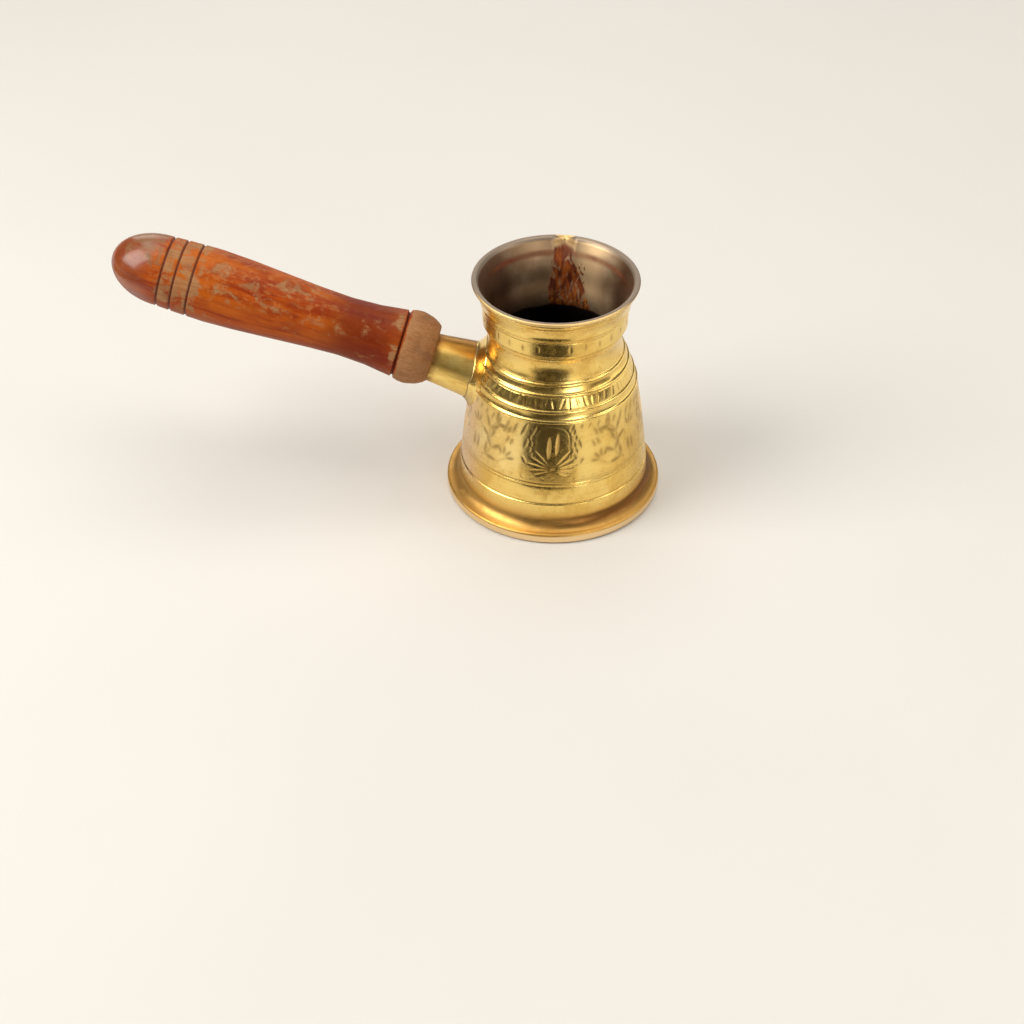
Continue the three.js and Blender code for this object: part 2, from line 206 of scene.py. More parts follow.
class Engraving:
    """A height map and a painted shade map round the pot: columns go round from -pi, and rows follow the
    given heights.
    """

    def __init__(self, z, columns, radius=SPAN):
        self.round = 2 * math.pi * radius
        azimuth = np.linspace(-np.pi, np.pi, columns, endpoint=False)
        self.u = (azimuth - FRONT) * radius
        self.z = z
        self.depth = np.zeros((len(z), columns))
        self.shade = np.zeros((len(z), columns))

    def window(self, u, z, reach):
        du = (self.u - u + self.round / 2) % self.round - self.round / 2
        cols = np.where(np.abs(du) < reach)[0]
        lines = np.where(np.abs(self.z - z) < reach)[0]
        if not len(cols) or not len(lines):
            return None
        return np.ix_(lines, cols), du[cols][None, :], (self.z[lines] - z)[:, None]

    def press(self, place, shape, depth, dark=1.0):
        """Cuts a shape and paints shade into it. A dark value below zero makes the cut bright instead of
        shaded.
        """
        self.depth[place] = np.minimum(self.depth[place], -depth * shape)
        self.shade[place] = np.where(shape > 0, dark * np.clip(shape * 1.5, 0, 1), self.shade[place])

    def leaf(self, u, z, length, width, tilt=0.0, depth=0.17, dark=1.0):
        """A lens-shaped gouge. The tilt is from upright, in degrees, to the right."""
        found = self.window(u, z, length / 2 + width)
        if found is None:
            return
        place, du, dz = found
        c, s = math.cos(math.radians(tilt)), math.sin(math.radians(tilt))
        along, across = dz * c + du * s, du * c - dz * s
        half = width / 2 * np.clip(1 - (2 * along / length) ** 2, 0, 1)
        shape = np.where(half > 0.02, np.clip(1 - np.abs(across) / np.maximum(half, 0.02), 0, 1), 0)
        self.press(place, shape * np.sqrt(np.clip(2 * half / width, 0, 1)), depth, dark)

    def line(self, points, width=0.5, depth=0.12):
        """A V-shaped line through points of (u, z)."""
        points = np.array(points, float)
        for (u0, z0), (u1, z1) in zip(points[:-1], points[1:]):
            length = math.hypot(u1 - u0, z1 - z0)
            found = self.window((u0 + u1) / 2, (z0 + z1) / 2, length / 2 + width)
            if found is None:
                continue
            place, du, dz = found
            cu, cz = (u1 - u0) / max(length, 1e-6), (z1 - z0) / max(length, 1e-6)
            along = np.clip(du * cu + dz * cz, -length / 2, length / 2)
            away = np.hypot(du - along * cu, dz - along * cz)
            self.press(place, np.clip(1 - away / (width / 2), 0, 1), depth)

    def dot(self, u, z, width=0.55, depth=0.12):
        found = self.window(u, z, width)
        if found is not None:
            place, du, dz = found
            self.press(place, np.clip(1 - np.hypot(du, dz) / (width / 2), 0, 1), depth)


# The two tall leaves: across, height, length, width and tilt. The fan's gouges: tilt and length.
TALL_LEAVES = [(-1.3, 37.2, 11.0, 2.1, 2), (1.8, 38.8, 10.4, 2.0, 5)]
FAN = [(42, 9.2), (60, 8.8), (78, 8.0), (96, 6.8), (114, 5.2)]
FAN_Z, FAN_GAP = 28.4, 1.6
LEAF_SHINE, FAN_SHINE = -0.8, -0.5


def arch(cut, u, half, low, spring, top):
    """A broad-shouldered arch."""
    power = 0.75
    turn = np.linspace(0, math.pi, 61)
    across = np.sign(np.cos(turn)) * np.abs(np.cos(turn)) ** power
    curve = list(zip(u + half * across, spring + (top - spring) * np.sin(turn) ** power))
    cut.line([(u + half, low), *curve, (u - half, low)], 0.8, 0.08)


def palmette(cut, u):
    """Two tall bright leaves under an arch, over a fan of gouges, with scattered leaves on both sides."""
    arch(cut, u, 6.4, 33.0, 40.0, 45.6)
    for across, height, length, width, tilt in TALL_LEAVES:
        cut.leaf(u + across, height, length, width, tilt, 0.28, LEAF_SHINE)
    for side in (-1, 1):
        for tilt, length in FAN:
            reach = FAN_GAP + length / 2
            a = math.radians(tilt)
            place = (u + side * reach * math.sin(a), FAN_Z + reach * math.cos(a))
            cut.leaf(*place, length, 1.4, side * tilt, 0.22, FAN_SHINE if side > 0 else 0.5)
        for k in range(5):
            place = (u + side * (7.9 + 0.6 * (k % 2)), 33.6 + 2.4 * k)
            cut.leaf(*place, 2.7, 1.2, side * (-22 + 9 * k), 0.15)
        cut.leaf(u + side * 9.9, 38.4, 4.6, 1.5, side * -16, 0.16)
        cut.leaf(u + side * 10.4, 31.6, 3.4, 1.3, side * 30, 0.15)
    cut.dot(u, 28.2, 1.6, 0.18)


def spray(cut, u, z, lean, count, spread, size):
    """Leaves that fan out from one point."""
    for k in range(count):
        off_middle = k - (count - 1) / 2
        tilt = lean + spread * off_middle
        a = math.radians(tilt)
        place = (u + 0.75 * size * math.sin(a), z + 0.75 * size * math.cos(a))
        cut.leaf(*place, size * (1 - 0.1 * abs(off_middle)), 0.32 * size, tilt)


def branch(cut, u, side):
    """A bent stem with leaves down both sides, with sprays, paired dashes and chains of dots beside it."""
    t = np.linspace(0, 1, 15)
    stem = np.stack([u + side * (7.5 * (t - 0.5) + 2.2 * np.sin(2 * math.pi * t)), 26.0 + 17.5 * t], -1)
    cut.line(stem, 0.6, 0.12)
    for k in range(1, 14, 3):
        run = stem[k + 1] - stem[k - 1]
        lean = math.degrees(math.atan2(run[0], run[1]))
        for way in (-1, 1):
            tilt = lean + way * 42
            a = math.radians(tilt)
            place = stem[k] + 3.1 * np.array([math.sin(a), math.cos(a)])
            cut.leaf(place[0], place[1], 5.8, 1.9, tilt, 0.18)
    spray(cut, u + side * 6.6, 29.6, side * 24, 4, 34, 4.4)
    spray(cut, u - side * 7.8, 36.6, side * -14, 3, 34, 4.4)
    for k in range(2):
        cut.leaf(u - side * (8.8 - 2.4 * k), 29.8 + 0.4 * k, 7.0, 1.6, side * 3, 0.17)
        cut.leaf(u + side * (9.8 - 1.8 * k), 37.4 + 0.5 * k, 3.8, 1.3, side * 24, 0.15)
        cut.leaf(u + side * (8.6 - 1.9 * k), 42.0 - 0.3 * k, 4.4, 1.4, side * 26, 0.15)
    for k in range(5):
        cut.dot(u + side * (4.4 + 0.9 * k), 27.2 + 0.7 * k, 0.9)
        cut.dot(u - side * (4.6 + 0.2 * k), 33.0 + 1.2 * k, 0.8)


def haze(marks, step_z, step_u, reach):
    """The marks, blurred by a bell curve of this reach in mm."""
    blurred = marks
    for axis, step in ((0, step_z), (1, step_u)):
        k = np.arange(-math.ceil(3 * reach / step), math.ceil(3 * reach / step) + 1) * step
        bell = np.exp(-0.5 * (k / reach) ** 2)
        bell /= bell.sum()
        blurred = np.apply_along_axis(lambda v: np.convolve(v, bell, "same"), axis, blurred)
    return blurred


def engrave_wall(z, columns):
    """Four palmettes with branches between them, a fringe of leaves above and short dashes below."""
    cut = Engraving(z, columns)
    quarter = ROUND / 4
    for k in range(4):
        palmette(cut, k * quarter)
        branch(cut, (k + 0.5) * quarter, 1 if k % 2 else -1)
    count = 56
    for k in range(count):
        u = k * ROUND / count
        off_palmette = (u + quarter / 2) % quarter - quarter / 2
        if abs(off_palmette) > 7.0:
            length = 4.4 - 1.6 * math.sin(4 * u / SPAN)
            cut.leaf(u, 46.4 - length / 2, length, 1.3, 24, 0.15)
        cut.leaf(u, 24.6, 1.7, 0.8, -35 if k % 2 else 35, 0.11, 0.6)
    # A fine line under the dashes, round half of the wall.
    cut.line([(0, 23.4), (ROUND / 2, 23.4)], 0.4, 0.08)
    return cut.depth, cut.shade


def engrave_neck(z, columns):
    """Ribs that lean at random round the shoulder, and upright dashes round the neck band."""
    ribs = Engraving(z, columns, 27.6)
    u = 0.0
    while u < ribs.round - 1.2:
        lean = rng.choice([0.0, 0.0, 14.0, 26.0, -12.0])
        ribs.leaf(u, 53.75, 4.8 / math.cos(math.radians(lean)), rng.uniform(0.8, 1.15), lean, 0.2, -0.3)
        u += rng.uniform(1.7, 3.7)
    dashes = Engraving(z, columns, 26.3)
    count = 29
    for k in range(count):
        height, length = 75.3 + rng.uniform(-0.3, 0.3), rng.uniform(2.8, 3.8)
        dashes.leaf(k * dashes.round / count, height, length, 1.05, rng.uniform(-5, 5), 0.17)
    return np.minimum(ribs.depth, dashes.depth), ribs.shade + dashes.shade


# ---- the pot's brass ----

WALL = 1.2  # brass thickness
SPLIT_Z = 22.0  # where the foot ends and the engraved wall starts
ROW_STEP = 0.22  # about how far apart the engraved rows are
# Painted shade along the turned grooves and at the bead edges.
GROOVE_DARK, BEAD_DARK = 0.4, 0.08
FINE, MIDDLE = 0.1, 0.24  # distances between rows at edges and at engraving


def darken(cut, z, place, reach, dark):
    """Paints shade into the rows near a height, most at that height."""
    near = dark * np.clip(1 - np.abs(z - place) / reach, 0, 1)
    rows = near > 0
    cut[rows] = np.maximum(cut[rows], near[rows, None])


def edge(a, b):
    """Two points close to the ends of the line from a to b, which keep its corners crisp."""
    return [a + (b - a) * share for share in (0.06, 0.94)]


def shell(name, z_out, columns, inside_step, engrave):
    """A ring of brass: up the engraved outside along z_out, and down the plain inside."""
    z_in = heights((z_out[0], z_out[-1], inside_step))[::-1]
    out = np.stack([outside_radius(z_out), z_out], -1)
    back = np.stack([plain_radius(z_in) - WALL, z_in], -1)
    profile = np.vstack([out, edge(out[-1], back[0]), back, edge(back[-1], out[0])])
    full, cut, stain = (np.zeros((len(profile), columns)) for _ in range(3))
    relief, shade = engrave(z_out, columns)
    outside, around = slice(0, len(out)), ROUND / columns
    full[outside] = haze(relief, ROW_STEP, around, 0.16)
    cut[outside] = haze(shade, ROW_STEP, around, 0.30)
    stain[outside] = haze(np.maximum(shade, 0), ROW_STEP, around, 1.2)
    # Painted shade in the grooves and at the bead edges.
    for place, width, _ in GROOVES:
        darken(cut[outside], z_out, place, width * 0.6, GROOVE_DARK)
    for low in BEADS:
        for place in (low, low + 2 * BEAD):
            darken(cut[outside], z_out, place, 0.3, BEAD_DARK)
    rows = press_lip(turned(profile, columns, full))
    return skin(name, rows, values={"cut": cut, "stain": stain})


def make_foot():
    """Flat underside, rounded edge, a flange that sweeps up into the foot band, and the floor inside."""
    z_foot = heights(
        (CREASE_Z + 0.05, 13.5, 0.8), (13.5, 14.7, FINE), (14.7, 21.0, 0.9), (21.0, 21.7, FINE),
        (21.7, SPLIT_Z, FINE),
    )
    underside = [(0, 0), (10, 0.0), (22, 0.0), (34, 0.0), (37.2, 0.0), (38.6, 0.0)]
    flange = np.vstack([
        bend((39.0, 0.0), (FLANGE_R, 0.0), (FLANGE_R, 0.95), 7),
        [[FLANGE_R, 1.6], [FLANGE_R, 2.3]],
        bend((FLANGE_R, 2.75), (FLANGE_R, FLANGE_EDGE), (39.1, FLANGE_EDGE + 0.14), 7),
        bend((38.7, 3.8), (36.2, 4.4), (FOOT_R + 0.05, CREASE_Z - 0.1), 16),
    ])
    out = np.stack([outside_radius(z_foot), z_foot], -1)
    back = [(out[-1, 0] - 0.06, SPLIT_Z), (out[-1, 0] - WALL + 0.06, SPLIT_Z)]
    back += [(plain_radius(z) - WALL, z) for z in (SPLIT_Z, 17.0, 12.0, 7.0)]
    back += [(32.4, 4.6), (30.6, 3.1), (29.8, 3.0), (20.0, 3.0), (8.0, 3.0), (0.0, 3.0)]
    profile = np.vstack([underside, flange, out, back])
    r, z = profile[:, 0], profile[:, 1]
    # Painted shade: the cut values darken the crease between foot band and flange, and the step and the
    # fine line above it.
    crease = 0.5 * np.exp(-((z - CREASE_Z) / 0.6) ** 2) * (np.abs(r - FOOT_R) < 0.8)
    step = 0.5 * np.clip(1 - np.abs(z - FOOT_STEP_Z) / 0.55, 0, 1) * (r > 34)
    line = 0.5 * np.clip(1 - np.abs(z - FOOT_LINE_Z) / 0.3, 0, 1) * (r > 33)
    rows = turned(profile, 360)
    cut = np.zeros(rows.shape[:2]) + np.maximum(np.maximum(crease, step), line)[:, None]
    return skin("pot_foot", rows, poles=True, values={"cut": cut, "stain": 0 * cut})


# The rows are close together at the beads, the ribs and the grooves.
z_wall = heights((SPLIT_Z, 23.3, 0.11), (23.3, WALL_TOP_Z, 0.212))
z_neck = heights(
    (WALL_TOP_Z, 48.0, 0.09), (48.0, 50.4, MIDDLE), (50.4, 51.8, FINE), (51.8, 55.7, MIDDLE),
    (55.7, 57.1, FINE), (57.1, 59.5, MIDDLE), (59.5, 61.5, FINE), (61.5, 70.9, 0.6), (70.9, 72.9, FINE),
    (72.9, 77.7, MIDDLE), (77.7, 79.9, FINE), (79.9, 85.1, 0.5), (85.1, 85.7, FINE),
    (85.7, LAP_Z - 0.1, 0.35),
)
pot_wall = shell("pot_wall", z_wall, 740, 5.0, engrave_wall)
pot_neck = shell("pot_neck", z_neck, 460, 3.0, engrave_neck)
pot_foot = make_foot()
for piece in (pot_wall, pot_neck, pot_foot):
    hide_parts("pot_body")

# ---- the tin ----
TIN_BACK, TIN_FACE = 1.6, 2.1  # how far the lining's two sides lie inside the pot's plain outside
TIN_ARC_R = 26  # radius at which distances round the lining are measured


def softened_radius(z):
    """The plain radius, with the throat rounded off by a bell curve."""
    spread = np.linspace(-4.5, 4.5, 31)
    bell = np.exp(-0.5 * (spread / 1.9) ** 2)
    nearby = plain_radius(np.clip(z[:, None] + spread, CREASE_Z, RIM_Z))
    softened = (nearby * bell).sum(1) / bell.sum()
    blend = smooth((z - 52) / 6) * smooth((87 - z) / 5)
    sharp = plain_radius(z)
    return np.minimum(sharp + (softened - sharp) * blend, sharp + 0.3)


def make_tin():
    """Up against the brass, over the rim, down a slightly wavy face and across the floor."""
    z_skin = heights((6.9, 60.0, 1.6), (60.0, 80.0, 0.8), (80.0, 87.6, 0.45))
    back = np.stack([plain_radius(z_skin) - TIN_BACK, z_skin], -1)
    face = np.stack([softened_radius(z_skin) - TIN_FACE, z_skin], -1)[::-1]
    lap_r = float(outside_radius(LAP_Z))
    rim = np.vstack([
        [[back[-1, 0] + 0.1, 88.15], [28.9, 88.2], [29.1, 88.1], [29.15, LAP_Z], [29.2, LAP_Z - 0.02]],
        [[lap_r - 0.05, LAP_Z - 0.02], [lap_r + 0.03, LAP_Z + 0.05]],
        bend((29.72, 87.5), (30.06, 88.1), (29.96, 88.35), 5),
        bend((29.9, 88.5), (29.75, 88.72), (29.3, 88.7), 6),
        bend((29.0, 88.7), (28.1, 88.72), (27.75, 88.1), 8),
    ])
    corner = bend((32.1, 5.9), (31.6, 4.2), (30.4, 3.85), 5)
    floor_top = [(29.9, 3.8), (29.4, 3.8), (20.0, 3.8), (8.0, 3.8), (0.0, 3.8)]
    floor_under = [(0, 3.3), (12.0, 3.3), (29.0, 3.3), (30.4, 3.3)]
    profile = np.vstack([floor_under, back, rim, face, corner, floor_top])
    columns = 300
    around = np.linspace(-np.pi, np.pi, columns, endpoint=False)
    z = profile[:, 1:]
    wave = 0.04 * np.sin(9 * around + 0.11 * z) * np.sin(0.35 * z + 3 * around)
    wave = wave + 0.03 * np.sin(17 * around - 0.2 * z)
    wave = wave * smooth((z - 5) / 4) * smooth((86 - z) / 3)
    rows = press_lip(turned(profile, columns, wave))
    arc = np.arctan2(rows[..., 0], rows[..., 1]) * TIN_ARC_R
    inside = np.stack([arc, rows[..., 2], np.hypot(rows[..., 0], rows[..., 1])], -1)
    return skin("tin_inside", rows, poles=True, values={"inside": inside})


tin_skin = make_tin()
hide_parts("tin_lining")

# ---- the handle's frame: reach runs out along the stud, and up is its upper side ----
TILT = math.radians(15.6)
AXIS = np.array([-math.cos(TILT), 0, math.sin(TILT)])
UP = np.array([math.sin(TILT), 0, math.cos(TILT)])
SIDE = np.array([0.0, 1.0, 0.0])
START = np.array([0, 0, WALL_TOP_Z - WALL_TOP_R * math.tan(TILT)])
WALL_REACH = WALL_TOP_R / math.cos(TILT)
WOOD_START, WOOD_LENGTH = WALL_REACH + 15.4, 121.5
WOOD_OFFSET = 1.6  # the wood's own axis lies this much above the stud's
FERRULE_TIP = WALL_REACH + 17.6
FERRULE_ROOT_R, FERRULE_TIP_R = 10.6, 8.6


def handle_point(up, side, reach):
    up, side, reach = (np.asarray(v, float)[..., None] for v in (up, side, reach))
    return START + up * UP + side * SIDE + reach * AXIS


def wall_reach(angle, radius):
    """Where lines along the handle, at an angle and radius round its axis, meet the pot's outside."""
    low, high = np.full(np.shape(angle), 15.0), np.full(np.shape(angle), 62.0)
    for _ in range(30):
        mid = (low + high) / 2
        p = handle_point(radius * np.cos(angle), radius * np.sin(angle), mid)
        away = np.hypot(p[..., 0], p[..., 1]) > plain_radius(p[..., 2])
        low, high = np.where(away, low, mid), np.where(away, mid, high)
    return high


def ferrule_radius(reach):
    taper = FERRULE_TIP_R - FERRULE_ROOT_R
    return FERRULE_ROOT_R + taper * (reach - WALL_REACH) / (FERRULE_TIP - WALL_REACH)


def ring(columns):
    return np.linspace(0, 2 * math.pi, columns, endpoint=False)[None, :]


def handle_rows(radius, reach, angle, offset=0):
    """Rings round the handle's axis, and each point's up, side and reach for the materials."""
    up = radius * np.cos(angle) + offset
    side = radius * np.sin(angle)
    return handle_point(up, side, reach), np.stack([up, side, reach + 0 * up], -1)


def make_ferrule():
    """A tapered tube. Its root follows the pot's wall, and its tip is cut square."""
    corner, bore, wall = 0.1, 1.3, 1.4  # below the outside: the ends' outer and inner edges, and the inside
    angle = ring(144)
    root = wall_reach(angle, FERRULE_ROOT_R) + 0.05
    tip = np.full_like(root, FERRULE_TIP)
    out_reach = root + (FERRULE_TIP - root) * np.linspace(0, 1, 26)[:, None]
    in_reach = root + (FERRULE_TIP - root) * np.linspace(1, 0, 6)[:, None]
    reach = np.vstack([out_reach, tip, tip, in_reach, root, root])
    radius = np.vstack([
        ferrule_radius(out_reach), ferrule_radius(tip) - corner, ferrule_radius(tip) - bore,
        ferrule_radius(in_reach) - wall, ferrule_radius(root) - bore, ferrule_radius(root) - corner,
    ])
    rows, local = handle_rows(radius, reach, angle)
    return skin("ferrule_cone", rows, values={"handle": local})


def make_braze():
    """A hollow fillet in the corner between ferrule and wall, a little uneven all round.

    It is short on the ferrule, wide over the shoulder and narrow underneath.
    """
    angle = ring(144)
    uneven = 0.2 * np.sin(3 * angle + 0.7) + 0.14 * np.sin(7 * angle) + 0.08 * np.sin(13 * angle + 2)
    corner_reach = wall_reach(angle, FERRULE_ROOT_R)
    tip_reach = corner_reach + 1.9 + uneven
    tip_r = ferrule_radius(tip_reach)
    foot_r = FERRULE_ROOT_R + 4.3 + 2.2 * np.cos(angle) + 0.5 * uneven
    foot_reach = wall_reach(angle, foot_r)
    t = np.linspace(0, 1, 25)[:, None]
    at_tip, at_corner, at_foot = (1 - t) ** 2, 2 * t * (1 - t), t ** 2
    curve_r = at_tip * (tip_r + 0.32) + at_corner * (FERRULE_ROOT_R + 0.9) + at_foot * foot_r
    curve_reach = at_tip * tip_reach + at_corner * (corner_reach + 0.5) + at_foot * (foot_reach + 0.12)
    proud = wall_reach(np.repeat(angle, len(t), 0), curve_r) + 0.9 * (1 - t ** 1.15) + 0.1
    radius = np.vstack([
        tip_r - 0.02, tip_r + 0.2, curve_r, foot_r + 0.3,
        foot_r - 0.4, np.full_like(foot_r, FERRULE_ROOT_R + 0.4), tip_r - 0.1,
    ])
    reach = np.vstack([
        tip_reach + 0.14, tip_reach + 0.12, np.maximum(curve_reach, proud), foot_reach - 1.1,
        foot_reach - 1.2, corner_reach - 0.9, tip_reach - 0.6,
    ])
    rows, local = handle_rows(radius, reach, angle)
    # The oxidised line is strongest at the ferrule. Underneath, the same pink-grey covers the whole fillet
    # as painted shadow.
    oxide_and_shadow = np.zeros(radius.shape)
    oxide_and_shadow[:5] = np.array([1.0, 1.0, 0.9, 0.6, 0.25])[:, None]
    oxide_and_shadow[4 : 2 + len(t)] += 0.9 * np.clip(-np.cos(angle) - 0.1, 0, 1)
    oxide_and_shadow = np.clip(oxide_and_shadow, 0, 1)
    return skin("braze_bead", rows[::-1], values={"handle": local[::-1], "oxide_and_shadow": oxide_and_shadow[::-1]})


ferrule = make_ferrule()
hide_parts("ferrule")
braze = make_braze()
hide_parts("braze_fillet")

# ---- the turned wood: places along it count from its start ----
COLLAR, COLLAR_R, WAIST, WAIST_R, GRIP, GRIP_R = 12.6, 13.6, 34.0, 10.8, 84.0, 13.6
CAP = 102.6  # where the rounded end starts
COLLAR_GROOVE, TIP_GROOVE, GROOVE_HALF = 1.0, 0.5, 0.62  # two depths, and half a width
WOOD_GROOVES = [
    (COLLAR, COLLAR_GROOVE), (WOOD_LENGTH - 31, TIP_GROOVE), (WOOD_LENGTH - 25, TIP_GROOVE),
    (WOOD_LENGTH - 20, TIP_GROOVE),
]
WOOD_KNOTS = np.array([
    (0.0, 10.2), (0.9, 11.2), (3.4, 12.6), (7.6, COLLAR_R), (10.6, 13.35), (COLLAR - 0.5, 12.75),
    (COLLAR + 0.5, 12.55), (17.0, 12.1), (23.3, 11.25), (WAIST, WAIST_R), (46.0, 11.35), (59.0, 12.25),
    (72.0, 13.15), (GRIP, GRIP_R), (90.5, 13.4), (96.5, 13.2), (101.5, 12.9),
])
# The bore as (radius, place), for the stud, the insert and the ferrule's tip.
BORE = np.array([
    (0, 66), (3.4, 66), (3.5, 65.9), (3.5, 27.2), (3.6, 27.0), (5.2, 27.0), (5.3, 26.8),
    (5.3, 2.8), (5.4, 2.5), (9.1, 2.5), (9.25, 2.4), (9.25, 0.3), (9.3, 0.05),
])


def wood_outline():
    """Places along the wood, the radius at each, and how near each is to the middle of a groove."""
    place = heights((0, 2, 0.2), (2, 11.8, 0.5), (11.8, 13.4, 0.08), (13.4, 89.6, 1.0), (89.6, CAP, 0.13))
    kernel = np.hanning(9) / np.hanning(9).sum()
    even = np.arange(-8, 112, 0.4)
    rounded = np.convolve(np.interp(even, *WOOD_KNOTS.T), kernel, "same")
    body = np.where(place > 1.5, np.interp(place, even, rounded), np.interp(place, *WOOD_KNOTS.T))
    cap_turn = np.linspace(0, math.pi / 2, 22)[1:]
    place = np.concatenate([place, CAP + (WOOD_LENGTH - CAP) * np.sin(cap_turn)])
    body = np.concatenate([body, body[-1] * np.cos(cap_turn)])
    body[-1] = 0
    groove = np.zeros(len(place))
    for middle, depth in WOOD_GROOVES:
        away = (place - middle) / GROOVE_HALF
        body = body - depth * np.clip(1 - away ** 2, 0, 1)
        groove = np.maximum(groove, np.clip(1.25 - np.abs(away), 0, 1))
    return place, body, groove


def make_wood():
    """The bored and turned handle, with a faint ripple, off centre on its bore."""
    place, body, groove = wood_outline()
    columns = 160
    angle = ring(columns)
    along = place[:, None]
    ripple = 0.05 * np.sin(2 * angle + 0.05 * along) + 0.03 * np.sin(5 * angle - 0.09 * along)
    ripple = ripple * smooth((WOOD_LENGTH - along) / 12) * smooth(along / 3)
    radius = np.vstack([np.repeat(BORE[:, :1], columns, 1), body[:, None] + ripple])
    reach = np.concatenate([BORE[:, 1], place])[:, None] + WOOD_START + 0 * angle
    offset = np.concatenate([np.zeros(len(BORE)), np.full(len(place), WOOD_OFFSET)])[:, None]
    rows, local = handle_rows(radius, reach, angle, offset)
    marked = np.concatenate([np.zeros(len(BORE)), groove])[:, None] + 0 * angle
    return skin("wooden_grip", rows, poles=True, values={"handle": local, "groove": marked})


wood = make_wood()
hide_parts("wooden_handle")


# ---- materials ----

class Finish:
    """A material under construction. Most methods add a node and return the socket with its result."""

    def __init__(self, name, **plain):
        self.material = bpy.data.materials.new(name)
        self.material.use_nodes = True
        self.tree = self.material.node_tree
        self.shader = self.tree.nodes["Principled BSDF"]
        for socket, value in plain.items():
            self.shader.inputs[socket.replace("_", " ")].default_value = value

    def node(self, kind, inputs=(), **settings):
        made = self.tree.nodes.new(kind)
        for key, value in settings.items():
            setattr(made, key, value)
        for key, value in dict(inputs).items():
            self.give(made.inputs[key], value)
        return made

    def give(self, socket, value):
        if isinstance(value, bpy.types.NodeSocket):
            self.tree.links.new(value, socket)
        elif isinstance(value, tuple) and len(value) == 3 and socket.type == "RGBA":
            socket.default_value = (*value, 1)
        else:
            socket.default_value = value

    def drive(self, **sockets):
        for key, value in sockets.items():
            self.give(self.shader.inputs[key.replace("_", " ")], value)

    def place(self):
        return self.node("ShaderNodeTexCoord").outputs["Object"]

    def number(self, name):
        return self.node("ShaderNodeAttribute", attribute_name=name).outputs["Fac"]

    def vector(self, name):
        return self.node("ShaderNodeAttribute", attribute_name=name).outputs["Vector"]

    def stretch(self, vector, scale, shift=(0, 0, 0)):
        inputs = {"Vector": vector, "Scale": scale, "Location": shift}
        return self.node("ShaderNodeMapping", inputs).outputs[0]

    def noise(self, vector, scale, detail=4.0, rough=0.55, warp=0.0):
        inputs = {"Vector": vector, "Scale": scale, "Detail": detail}
        inputs.update({"Roughness": rough, "Distortion": warp})
        return self.node("ShaderNodeTexNoise", inputs).outputs["Fac"]

    def split(self, vector):
        return self.node("ShaderNodeSeparateXYZ", {"Vector": vector}).outputs

    def math(self, operation, a, b=0.0):
        made = self.node("ShaderNodeMath", operation=operation)
        self.give(made.inputs[0], a)
        self.give(made.inputs[1], b)
        return made.outputs[0]

    def times(self, a, b):
        return self.math("MULTIPLY", a, b)

    def plus(self, a, b):
        return self.math("ADD", a, b)

    def minus(self, a, b):
        return self.math("SUBTRACT", a, b)

    def most(self, a, b):
        return self.math("MAXIMUM", a, b)

    def span(self, value, low, high, out_low=0.0, out_high=1.0, soft=True):
        """From out_low at low to out_high at high, and level beyond them."""
        inputs = {"Value": value, "From Min": low, "From Max": high}
        inputs.update({"To Min": out_low, "To Max": out_high})
        kind = "SMOOTHSTEP" if soft else "LINEAR"
        return self.node("ShaderNodeMapRange", inputs, interpolation_type=kind).outputs["Result"]

    def between(self, value, low, high, edge):
        """One between low and high, and nothing outside, with soft edges."""
        rise = self.span(value, low - edge, low + edge)
        fall = self.span(value, high - edge, high + edge, 1.0, 0.0)
        return self.times(rise, fall)

    def mix(self, part, a, b):
        made = self.node("ShaderNodeMix", data_type="RGBA")
        for socket, value in zip((made.inputs[0], made.inputs[6], made.inputs[7]), (part, a, b)):
            self.give(socket, value)
        return made.outputs[2]

    def bump(self, *layers):
        """Bump layers of (height, distance in metres)."""
        normal = None
        for height, distance in layers:
            made = self.node("ShaderNodeBump", {"Height": height, "Distance": distance, "Strength": 1.0})
            if normal is not None:
                self.give(made.inputs["Normal"], normal)
            normal = made.outputs["Normal"]
        self.give(self.shader.inputs["Normal"], normal)

    def on(self, *pieces):
        for piece in pieces:
            piece.data.materials.clear()
            piece.data.materials.append(self.material)


# Colours, as linear red, green and blue.
# Brass:
GOLD, DEEP_GOLD = (0.93, 0.675, 0.215), (0.86, 0.575, 0.150)
TARNISH, TURNING_MARK = (0.62, 0.38, 0.085), (0.62, 0.43, 0.15)
STAIN, FLANGE_BROWN = (0.47, 0.29, 0.085), (0.52, 0.27, 0.070)
PAINTED_CREASE_SHADE, EDGE_GOLD = (0.20, 0.085, 0.022), (1.0, 0.80, 0.50)
PAINTED_HIGHLIGHT_GOLD, PAINTED_ROSY_REFLECTION = (1.0, 0.82, 0.42), (0.82, 0.56, 0.40)
BRIGHT_CUT, PAINTED_CUT_SHADE = (0.92, 0.62, 0.19), (0.21, 0.115, 0.03)
# Ferrule and braze:
FILED_GOLD, FILED_DEEP = (0.94, 0.69, 0.22), (0.84, 0.55, 0.140)
FILE_MARK, PAINTED_CREST_REFLECTION = (0.50, 0.31, 0.090), (0.30, 0.135, 0.020)
GRIME, BRAZE_GOLD = (0.30, 0.12, 0.035), (1.0, 0.76, 0.26)
BRAZE_DEEP, OXIDE_AND_SHADOW_GREY = (0.90, 0.57, 0.14), (0.27, 0.165, 0.115)
